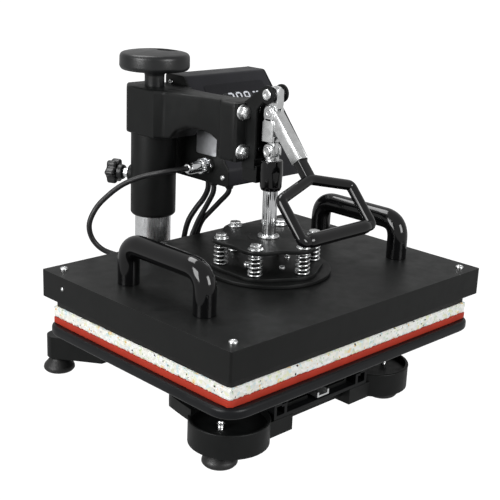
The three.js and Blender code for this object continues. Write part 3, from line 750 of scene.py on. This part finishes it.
def silicone_pad():
    """A thick silicone sheet, narrower where it sits in the pocket."""
    outer = round_steps(rectangle(-182.25, 182.25, -137.25, 137.25, 2.5), 6)
    lower = slab(rectangle(-180.7, 180.7, -135.7, 135.7, 14), 95.7, 101.35, 0.5)
    random = np.random.default_rng(11)
    wave = 0.12 * np.convolve(random.normal(size=len(outer)), np.ones(5) / 5, "same")[:, None]
    upper = slab(outer + wave * unit(outer), 101.3, 108.1, 0.7)
    piece("silicone_sheet", [lower, upper], SILICONE, "base", 50, ("silicone_pad",))


def foam_sheet():
    """Rebonded foam cut with a knife: its wall is rough, and crumbs are missing along both edges."""
    outline = anticlockwise(round_steps(rectangle(-182.2, 182.2, -137.2, 137.2, 2, 4), 1.6))
    heights = np.linspace(108.4, 119.6, 9)
    random = np.random.default_rng(5)
    crumbs = random.normal(size=(9, len(outline)))
    crumbs = (crumbs + np.roll(crumbs, 1, axis=1) + np.roll(crumbs, 1, axis=0)) * 0.16
    edge = np.zeros((9, 1))
    edge[0], edge[-1] = 0.5, 0.6
    chips = (random.random((9, len(outline))) > 0.93) * edge * 2.2
    inset = np.clip(0.45 + crumbs + edge + chips, 0.05, 3.0)
    inward = drawn_in(outline, 1.0) - outline
    wall = outline[None] + inset[..., None] * inward[None]
    points = np.concatenate([wall, np.broadcast_to(heights[:, None, None], (9, len(outline), 1))], axis=2)
    piece("foam_block", rings(points), FOAM, "base", 80, ("foam_sheet",))


# ---- platen
def cover():
    """The pressed cover, its corner screws and the small rivet in its left side."""
    recast("cover_shell", "platen_cover", SHEET, "platen", 1.6, 4)
    for x in (-172.9, 172.9):
        for y in (-129.5, 129.5):
            piece(f"cover_screw_{x:.0f}_{y:.0f}", screw((x, y, 160.45), (0, 0, 1), 4.4, 2.6), ZINC, "platen")
    piece("side_rivet", screw((-190.1, 108, 148), (-1, 0, 0), 2.0, 1.0, 0.8), ZINC, "platen")


def heater():
    """The coated heating plate and the insulation board over it, both under the cover."""
    plate = slab(rectangle(-180.5, 180.5, -135.5, 135.5, 5), 120, 142, 0.8)
    piece("plate_block", plate, COATED, "platen", 40, ("heat_plate",))
    board = slab(rectangle(-186, 186, -141, 141, 4), 142.3, 158.5, 0.6)
    piece("fibre_layer", board, FIBRE, "platen", 40, ("insulation_board",))


def cover_handles():
    """Two vinyl-dipped bar handles."""
    for name, x in (("left_cover_handle", -146), ("right_cover_handle", 146)):
        bend = softened([(x, -61.3, 160.9), (x, -61.3, 203.2), (x, 54.2, 203.2), (x, 54.2, 160.9)], 24, 14)
        path = even_steps(bend, 2.5)
        piece(name + "_grip", tube(path, 11.4, 32), GLOSS, "platen", 60, (name,))


STUDS = [(51.5 * math.cos(a), 51.5 * math.sin(a)) for a in math.pi / 6 + np.arange(6) * math.pi / 3]
SPRING_FOOT, SPRING_LENGTH, WIRE = 169.0, 23.1, 1.05
SCREW_REACH = 27.0


def mounting_disc():
    """Two plates on the cover, the upper one lobed, with cap screws between the lobes."""
    lower = turned(bar(69, 160.7, 164.5, 0.7), (0, 0, 0), sides=96)
    upper = slab(lobed(59.5, 144, 6, 2.5, math.pi), 164.4, 168.4, 0.7)
    piece("disc_plates", [lower, upper], SHEET, "platen", 38, ("mounting_disc",))
    screws = [screw((SCREW_REACH * math.cos(a), SCREW_REACH * math.sin(a), 168.5), (0, 0, 1), 3.4, 3.0, 1.5)
              for a in np.radians((-10, 80, 170, 260))]
    piece("disc_screws", screws, ZINC, "platen")


def springs():
    """Six coil springs under the star plate: a round wire on a helix whose end turns lie flat."""
    turns = np.linspace(0, 6, 6 * 26 + 1)
    rise = np.clip((turns - 0.75) / 4.5, 0, 1)
    height = SPRING_FOOT + WIRE + rise * (SPRING_LENGTH - 2 * WIRE)
    for number, (x, y) in enumerate(STUDS, 1):
        angle = turns * 2 * math.pi
        path = np.stack([x + 6.8 * np.cos(angle), y + 6.8 * np.sin(angle), height], axis=1)
        coil = piece(f"spring_wire_{number}", tube(path, WIRE, 8), ZINC, "platen", 60, (f"spring_{number}",))
        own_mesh(coil)
        head = hex_bolt((x, y, 196.6), (0, 0, 1), 11.0, 5.4, 8.0, 0.2 + number)
        shank = turned(bar(3.2, 168.0, 197.5, 0.4), (x, y, 0), sides=16)
        piece(f"spring_bolt_{number}", head, ZINC, "platen")
        piece(f"spring_rod_{number}", shank, COATED, "platen")


# ---- ram
def star_plate():
    """The lobed pressure plate, and a thin dark sheet on it in the shape of an arc slot: painted shade for
    the slot's dark opening, as the plate is not cut.
    """
    plate = slab(lobed(57, 180, 6, -4.5), 192.4, 196.4, 0.8)
    piece("star_plate", plate, SHEET, "ram", 38, ("spring_plate",))
    # Painted shade: a thin dark sheet laid on the uncut plate where the arc slot's opening shows dark.
    sweep = np.radians(np.linspace(112, 172, 20))
    rim = [np.stack([r * np.cos(sweep), r * np.sin(sweep)], axis=1) for r in (19.4, 22.4)]
    piece("star_slot_painted_shade", slab(np.concatenate([rim[0], rim[1][::-1]]), 196.3, 196.55, 0.1), COATED, "ram")


def shaft():
    """The ram shaft with fine drawing lines, its collar and a washer stack."""
    rod = turned(bar(7.8, 190, 280.9, 0.5), (0, 0, 0), sides=112, flutes=14, flute=0.2)
    piece("shaft_bar", rod, CHROME, "ram", 40, ("ram_shaft",))
    wall = [(8.1, 196.5), (11.8, 196.5), (11.8, 198.0), (10.4, 198.3), (10.4, 199.2), (8.1, 199.2)]
    collar = turned(softened(wall, 0.3, 3), (0, 0, 0), sides=48, closed=True)
    piece("collar_rings", collar, ZINC, "ram", 35, ("shaft_collar",))


def guide_sleeve():
    """The gloss guide bush, tapered to a rounded lower lip."""
    wall = [(8.1, 248), (10.2, 248), (11.6, 251.5), (12.2, 268), (11.6, 280.3), (8.1, 280.3)]
    bush = turned(softened(wall, 1.2), (0, 0, 0), sides=64, closed=True)
    piece("guide_bush", bush, GLOSS, "arm", 40, ("guide_sleeve",))


castings()
rail_channel()
feet()
pod_rims()
post()
table()
silicone_pad()
foam_sheet()
cover()
heater()
cover_handles()
mounting_disc()
springs()
star_plate()
shaft()
guide_sleeve()


# ---- column and arm
def sleeve():
    """The swing sleeve with a rounded foot, and the clamp boss that the star knob screws into."""
    wall = [(21.9, 181), (22.9, 180), (24.6, 180), (26.8, 182.6), (26.8, 320), (21.9, 320)]
    barrel = turned(softened(wall, 1.0), POST, sides=96, closed=True)
    reach = (math.cos(CLAMP_TURN), math.sin(CLAMP_TURN), 0)
    boss = turned(softened([(11.5, 20), (11.5, 29), (9.8, 31), (4, 31)], 1.2), CLAMP, reach, 40)
    piece("sleeve_tube", [barrel, boss], CAST, "arm", 40, ("swing_sleeve",))


def lock_knob():
    """A six-lobed star knob on its stud, with a hub behind it and a bright insert in its face."""
    axis = np.array((math.cos(CLAMP_TURN), math.sin(CLAMP_TURN), 0))
    across = np.array((-math.sin(CLAMP_TURN), math.cos(CLAMP_TURN), 0))
    star = slab(lobed(13.6, 96, 6, 1.9), 45.5, 58.5, 3.2, (CLAMP, across, np.cross(axis, across)), 6)
    hub = turned(softened([(0.4, 38), (6.5, 38), (8.8, 39.5), (9.5, 46), (0.4, 46)], 1, 4), CLAMP, axis, 32)
    piece("lock_star", [star, hub], PLASTIC, "clamp", 40, ("lock_knob",))
    stud = turned(bar(3.4, 58.4, 60.0, 0.6), CLAMP, axis, 20)
    rod = turned(bar(5.6, 31.2, 38.4, 0.4), CLAMP, axis, 20)
    piece("lock_stud", [stud, rod], ZINC, "clamp")


def knob():
    """The pressure knob: a coned skirt, a rolled top edge and a finger dimple sunk in the top."""
    rows, sides = 40, 120
    t = np.linspace(0, 1, rows)[:, None]
    angle = around(sides)
    skirt = softened([(11.5, 351.3), (38.2, 351.3), (40.7, 355.0), (40.4, 367.2), (38.4, 370.2),
                      (34.4, 371.2)], 1.6)
    radius, height = skirt[:, :1], skirt[:, 1:]
    top_radius = 34.0 * (1 - t) + 0.5 * t
    radius = np.concatenate([radius, top_radius])
    height = np.concatenate([height, np.full((rows, 1), 371.2)])
    x, y = radius * np.cos(angle), radius * np.sin(angle)
    away = np.hypot((x - 13) / 1.25, y + 6) / 10.5
    top = height > 371.15
    dip = np.where(top, 7.0 * np.clip(1 - away ** 2, 0, 1) ** 0.4, 0)
    crown = np.where(top, 3.0 * (1 - (radius / 34.4) ** 2), 0)
    points = np.stack([x, y + POST[1], np.broadcast_to(height, x.shape) - dip + crown], axis=2)
    piece("knob_cap", rings(points), PLASTIC, "knob", 40, ("pressure_knob",))
    neck = [(0.4, 309.4), (10.8, 309.4), (11.5, 310.2), (11.5, 345), (12.6, 348), (13.0, 351.2), (0.4, 351.2)]
    piece("knob_neck", turned(softened(neck, 1.2), POST, sides=64), PLASTIC, "knob", 40, ("pressure_screw",))
    washer = turned(bar(16, 305.3, 309, 0.5), POST, sides=48)
    piece("thrust_washer", washer, ZINC, "swivel", 40, ("thrust_pad",))


def arm_casting():
    """The arm as one cast surface from nose to tail: at each station along Y a rounded box whose
    half-width eases from the head's 29 to the web's 13 and opens to 23 at the nose, while its
    underside arches up behind the nose."""
    y = np.concatenate([np.linspace(34.3, 37, 5), np.linspace(39, 56, 8), np.linspace(58, 72, 9),
                        np.linspace(76, 148, 25), np.linspace(152, 156, 3), np.linspace(160, 210, 12),
                        np.linspace(214, 226.7, 6)])
    half = np.interp(y, [34.3, 35, 36.5, 39, 56, 58.5, 62, 68, 100, 152, 160, 209, 226.7],
                     [20.6, 21.7, 22.5, 23, 23, 22, 17.0, 13.2, 14.5, 21.5, 29, 29, 15])
    low = np.interp(y, [34.3, 36, 56, 62, 72, 84, 100, 118, 134, 142, 152, 226.7],
                    [274.2, 273, 273, 279, 289, 295.2, 297, 296.5, 290, 281, 278.6, 278.6])
    high = np.interp(y, [34.3, 36, 58, 62, 120, 160, 226.7], [336.2, 337.0, 337.0, 336.2, 334, 333, 333])
    corner = np.interp(y, [34, 56, 64, 150, 160], [5, 5, 4.2, 4.2, 3.4])
    t = np.linspace(0, math.pi / 2, 6)
    quarter = np.stack([np.cos(t), np.sin(t)], axis=1)
    signs = [(1, 1, quarter), (-1, 1, quarter[::-1]), (-1, -1, quarter), (1, -1, quarter[::-1])]
    corners = []
    for side, up, arc in signs:
        x = side * (half[:, None] - corner[:, None] * (1 - arc[:, 0]))
        edge = np.where(up > 0, high, low)[:, None]
        z = edge - up * corner[:, None] * (1 - arc[:, 1])
        corners.append(np.stack([x, np.broadcast_to(y[:, None], x.shape), z], axis=2))
    piece("arm_body", rings(np.concatenate(corners, axis=1)), CAST, "arm", 34, ("arm_casting",))


def bracket_bolts():
    """Four hexagonal bolts through the toggle bracket into the arm's nose."""
    bolts = []
    for x in (-16.5, 16.5):
        for z in (285.5, 327.5):
            bolts += hex_bolt((x, 29.6, z), (0, -1, 0), 12.5, 7.0, 8.4, 0.3 + x)
    piece("bracket_bolts", bolts, ZINC, "arm")


# ---- toggle
DIP = math.radians(47.9)
DOWN_LEVER = np.array((0, -math.cos(DIP), -math.sin(DIP)))
ACROSS_LEVER = np.array((0, -math.sin(DIP), math.cos(DIP)))
def on_lever(reach, off, x=0.0):
    """A point that far down the lever from its knuckle, off above its middle, and x to the right."""
    return KNUCKLE + reach * DOWN_LEVER + off * ACROSS_LEVER + (x, 0, 0)


def lever_channel():
    """A pressed zinc channel: a web with two rolled ridges along it, two cheeks, and a knuckle that
    climbs to the pivot."""
    right_half = [(3.6, 7.2), (4.6, 8.0), (6.2, 7.0), (7.0, 3.2), (7.0, -6.5), (5.0, -6.5), (5.0, 5.0)]
    section = [*right_half, *[(-x, y) for x, y in right_half[::-1]]]
    web = slab(softened(section, 0.9, 4, True), 2, 60, 0.4, (KNUCKLE, (1, 0, 0), ACROSS_LEVER), 3)
    outline = softened([(-8, -8), (8, -8), (8.5, 10), (7.5, 27), (-7.5, 27), (-8.5, 10)], 7, 6, True)
    knuckle = cheeks(outline, 2.4, 4.9, 0.4, (KNUCKLE, (0, -1, 0), (0, 0, 1)), 3)
    bridge = slab(rectangle(-5.2, 5.2, 335, 356, 4), 6.6, 8.6, 0.6, FACING, 3)
    pin = turned(bar(4, -5.2, 5.2, 0.4), KNUCKLE, (1, 0, 0), 24)
    piece("lever_pressing", [web, *knuckle, bridge, pin], ZINC, "lever", 34, ("lever_channel",))


def handle_frame():
    """The D frame: a round bar with tight corners lying in the lever's plane, a flat bar that joins it
    to the channel, and a thicker grip sleeve over the far side."""
    corners = [(81.3, 0), (96.9, 52.7), (145.1, 52.1), (145.1, -52.1), (96.9, -52.7)]
    frame_line = softened([on_lever(reach, 0, x) for reach, x in corners], 4.5, 7, True)
    bar_shell = tube(frame_line, 5.6, 20, closed=True)
    plane = (KNUCKLE, DOWN_LEVER, (1, 0, 0))
    flat = slab(rectangle(50, 84, -6.2, 6.2, 3), -5.5, 4.5, 1.6, plane)
    grip_line = [on_lever(145.1, 0, x) for x in np.linspace(-45, 45, 40)]
    ends = np.minimum(np.arange(40), np.arange(40)[::-1]) / 3.0
    grip = tube(grip_line, 5.8 + 1.5 * np.clip(ends, 0, 1) ** 0.5, 24)
    piece("handle_bar", [bar_shell, flat], GLOSS, "lever", 50, ("handle_frame",))
    piece("handle_grip", grip, GLOSS, "lever", 50)


def toggle_link():
    """A forged link: a squared body with eased edges, an eye on the knuckle pin at its top, a tongue in
    the fork at its foot, and riveted bosses."""
    eye = softened([(-6.6, -7), (6.6, -7), (7.4, 9), (-7.4, 9)], 6, 6, True)
    shoulder = softened([(-7.2, 299.5), (8.6, 299.5), (8.6, 320), (4.5, 325), (-4.5, 325), (-7.2, 320)],
                        1.8, 4, True)
    boss = softened([(2.0, 7.6), (4.8, 7.6), (4.8, 8.3), (4.0, 8.7), (2.6, 8.6), (2.0, 8.0)], 0.3, 3)
    tongue = softened([(-5.8, -5.6), (5.8, -5.6), (5.8, 12), (-5.8, 12)], 5, 5, True)
    shells = [*cheeks(eye, 5.5, 8.3, 0.9, (KNUCKLE, (0, -1, 0), (0, 0, -1))),
              *cheeks(shoulder, 5.5, 8.3, 0.9, LENGTHWISE),
              *both_ends(boss, KNUCKLE, 28, True),
              slab(rectangle(-8.2, 8.2, -8.4, 8.4, 3), 299.6, 307, 1.4),
              slab(tongue, -3.3, 3.3, 0.8, at(FORK_PIN, LENGTHWISE), 3)]
    piece("link_forging", shells, ZINC, "link", 34, ("toggle_link",))


def ram_fork():
    """The fork on top of the ram, its ears spread from a collar and rounded, and the pin through it."""
    collar = turned(bar(7.4, 279.5, 284.5, 0.8), (0, 0, 0), sides=32)
    ear = softened([(-6.8, -7.6), (6.8, -7.6), (6.8, 7.4), (-6.8, 7.4)], 6, 6, True)
    ears = cheeks(ear, 3.6, 6.8, 0.6, at(FORK_PIN, LENGTHWISE), 3)
    piece("fork_ears", [collar, *ears], ZINC, "ram", 34, ("ram_fork",))
    pin = turned(bar(4.1, -8.2, 8.2, 0.5), FORK_PIN, (1, 0, 0), 24)
    head = softened([(2.2, 6.9), (5.4, 6.9), (5.4, 8.0), (4.6, 8.9), (3.0, 8.6), (2.2, 7.8)], 0.4, 3)
    piece("fork_rivet", [pin, *both_ends(head, FORK_PIN, 28, True)], ZINC, "ram", 34, ("fork_pin",))


def pivot_bolt():
    """The lever's pivot: a socket cap screw through the ears."""
    pin = turned(bar(4.1, -11.4, 11.4, 0.3), PIVOT, (1, 0, 0), 24)
    cap = [(0.4, 11.4), (5.8, 11.4), (5.8, 12.4), (5.1, 13.2), (3.0, 13.2), (2.6, 12.0), (0.4, 11.8)]
    caps = both_ends(softened(cap, 0.4, 3), PIVOT, 32)
    piece("pivot_screw", [pin, *caps], ZINC, "arm", 34, ("pivot_pin",))


# ---- control box
SLOPE = math.atan2(343.2 - 246.2, 178 - 97)
PANEL = ((0, 97, 246.2), (1, 0, 0), (0, math.cos(SLOPE), math.sin(SLOPE)))
PANEL_OUT = np.cross(*PANEL[1:])


def box_side(inset):
    """The box seen from its end: a front lip, the sloping panel, a level shelf and the back."""
    outline = np.array([(97, 225.9), (210, 225.9), (210, 343.2), (178, 343.2), (97, 246.2)])
    return drawn_in(softened(outline, 3.2, 5, True), inset)


def control_box():
    """The folded steel wrap, black end plates a little proud of it, their screws and the label."""
    wrap = slab(box_side(0.2), 32.0, 162.0, 0.8, LENGTHWISE)
    piece("box_wrap", wrap, BOX_PAINT, "arm", 34, ("control_box",))
    for name, low, high in (("left", 30.0, 32.1), ("right", 161.9, 164.0)):
        plate = slab(box_side(0.0), low, high, 0.7, LENGTHWISE)
        piece(f"box_plate_{name}", plate, SHEET, "arm", 34, (f"box_end_{name}",))
    screws = [screw((x, y, z), (way, 0, 0), 3.3, 1.6, 1.5) for x, way in ((29.95, -1), (164.05, 1))
              for y, z in ((106, 236), (200, 236), (200, 334))]
    piece("box_screws", screws, ZINC, "arm")
    piece("box_label", slab(rectangle(118, 152, 258, 292, 2), 29.7, 30.2, 0.1, LENGTHWISE), LABEL, "arm")


def digit_strokes(lit, x, height, size):
    """The lit bars of one seven-bar numeral, each a thin six-sided slab on the panel."""
    w, h, t = size * 0.52, size, size * 0.075
    places = {"top": ((0, h), (w, h)), "mid": ((0, h / 2), (w, h / 2)), "low": ((0, 0), (w, 0)),
              "ul": ((0, h / 2), (0, h)), "ur": ((w, h / 2), (w, h)), "ll": ((0, 0), (0, h / 2)),
              "lr": ((w, 0), (w, h / 2))}
    shells = []
    for name in lit:
        a, b = (np.array(end, float) for end in places[name])
        run = unit(b - a)
        side = np.array((-run[1], run[0])) * t
        a, b = a + run * t * 1.2, b - run * t * 1.2
        bar_outline = [a - run * t, a + side, b + side, b + run * t, b - side, a - side]
        shells.append(slab(np.array(bar_outline) + (x, height), 0.55, 0.75, 0.05, PANEL, 2))
    return shells


def panel():
    """The membrane over the panel, the display with three numerals and two marks, and the keys."""
    piece("membrane", slab(rectangle(52, 150, 22, 112, 4), 0.02, 0.35, 0.15, PANEL), MEMBRANE, "arm", 34)
    piece("display_glass", slab(rectangle(76, 122, 72, 98, 2.5), 0.2, 0.6, 0.2, PANEL), WINDOW, "arm", 34,
          ("display_window",))
    two = ("top", "ur", "mid", "ll", "low")
    zero = ("top", "ul", "ur", "ll", "lr", "low")
    eight = ("top", "mid", "low", "ul", "ur", "ll", "lr")
    strokes = []
    for lit, x in ((two, 84), (zero, 97), (eight, 110)):
        strokes += digit_strokes(lit, x, 83, 14)
    for x in (125, 131):
        strokes.append(slab(rectangle(x, x + 3.5, 95, 97, 0.5), 0.3, 0.6, 0.1, PANEL))
    piece("display_numerals", strokes, SEGMENT, "arm", 34)
    for number, x in enumerate((78, 97, 116), 1):
        centre = placed(np.array((x, 45.0, 0.0)), PANEL)
        cap = softened([(0.4, 2.0), (5.9, 2.0), (5.9, 3.2), (4.8, 3.9), (0.4, 3.6)], 0.5, 4)
        ring = softened([(6.2, 0.2), (7.6, 0.2), (7.6, 1.5), (7.0, 2.2), (6.2, 2.2)], 0.4, 4)
        piece(f"key_rim_{number}", turned(ring, centre, PANEL_OUT, 40, True), SHEET, "arm", 40)
        piece(f"key_{number}", turned(cap, centre, PANEL_OUT, 40), PLASTIC, f"button_{number}", 40,
              (f"panel_button_{number}",))


def connector():
    """A knurled chrome gland where the heater lead leaves the box, with its nut."""
    plane = at(GLAND, LENGTHWISE)
    ring = slab(lobed(8.6, 72, 24, 0.35), 14.2, 24.0, 0.8, plane)
    nut = slab(hexagon(15.5), 24.2, 29.7, 0.7, plane)
    nose = softened([(2.7, -5), (5.2, -5), (6.6, -2), (7, 1), (7, 14.4), (2.7, 14.4)], 0.8)
    shells = [ring, nut, turned(nose, GLAND, (1, 0, 0), 48)]
    piece("gland_chrome", shells, CHROME, "arm", 30, ("lead_connector",))


def box_glands():
    """Rubber grommets under the box where the three cords come out."""
    for name, x, y, radius in (("sensor", 38, 129, 5.0), ("earth", 41, 106, 5.0), ("mains", 48, 150, 7.0)):
        bore = 0.6 * radius
        wall = [(bore, 226.5), (radius, 226.5), (radius, 224.4), (0.8 * radius, 221.8), (bore, 221.8)]
        piece(f"grommet_{name}", turned(softened(wall, 0.6), (x, y, 0), sides=32, closed=True), RUBBER, "arm")


sleeve()
lock_knob()
knob()
arm_casting()
bracket_bolts()
lever_channel()
handle_frame()
toggle_link()
ram_fork()
pivot_bolt()
control_box()
panel()
connector()
box_glands()
recast("rocker_cap", "power_switch", PLASTIC, "rocker", 0.7)


# ---- room
def room():
    """A white sheet under the machine that only the camera sees, and a white world whose light is dim."""
    mesh = bpy.data.meshes.new("floor")
    mesh.from_pydata([(-6, -6, 0), (6, -6, 0), (6, 6, 0), (-6, 6, 0)], [], [(0, 1, 2, 3)])
    floor = bpy.data.objects.new("floor", mesh)
    bpy.context.scene.collection.objects.link(floor)
    white = Finish("sweep", (0, 0, 0), 1.0, Specular_IOR_Level=0.0)
    white.shader.inputs["Emission Color"].default_value = (1, 1, 1, 1)
    white.shader.inputs["Emission Strength"].default_value = 1.1
    mesh.materials.append(white.material)
    floor.visible_diffuse = False
    floor.visible_glossy = False
    floor.visible_shadow = False
    world = bpy.data.worlds.new("studio")
    bpy.context.scene.world = world
    world.use_nodes = True
    tree = world.node_tree
    sky = tree.nodes["Background"]
    sky.inputs["Color"].default_value = (1, 1, 1, 1)
    seen = tree.nodes.new("ShaderNodeLightPath")
    level = None
    for ray, strength in (("Is Glossy Ray", MIRRORED_LIGHT), ("Is Camera Ray", 1.1)):
        choice = tree.nodes.new("ShaderNodeMix")
        choice.inputs["A"].default_value = WORLD_LIGHT
        choice.inputs["B"].default_value = strength
        tree.links.new(seen.outputs[ray], choice.inputs["Factor"])
        if level:
            tree.links.new(level, choice.inputs["A"])
        level = choice.outputs["Result"]
    tree.links.new(level, sky.inputs["Strength"])
    bpy.context.scene.view_settings.view_transform = "Standard"


def area_light(name, place, target, size, power):
    """A soft box at a place in metres, turned to its target."""
    data = bpy.data.lights.new(name, "AREA")
    data.shape = "RECTANGLE"
    data.size, data.size_y = size
    data.energy = power
    light = bpy.data.objects.new(name, data)
    bpy.context.scene.collection.objects.link(light)
    light.location = place
    light.rotation_mode = "QUATERNION"
    light.rotation_quaternion = (Vector(target) - Vector(place)).to_track_quat("-Z", "Y")


WORLD_LIGHT, MIRRORED_LIGHT = 0.25, 0.50
room()
area_light("left_box", (-1.9, 0.1, 0.9), (0, 0, 0.2), (0.9, 1.3), 34)
area_light("front_box", (0.2, -2.1, 1.0), (0, 0, 0.2), (0.9, 1.1), 30)
area_light("top_box", (-0.1, 0.9, 2.0), (0, 0, 0.2), (1.4, 0.8), 24)
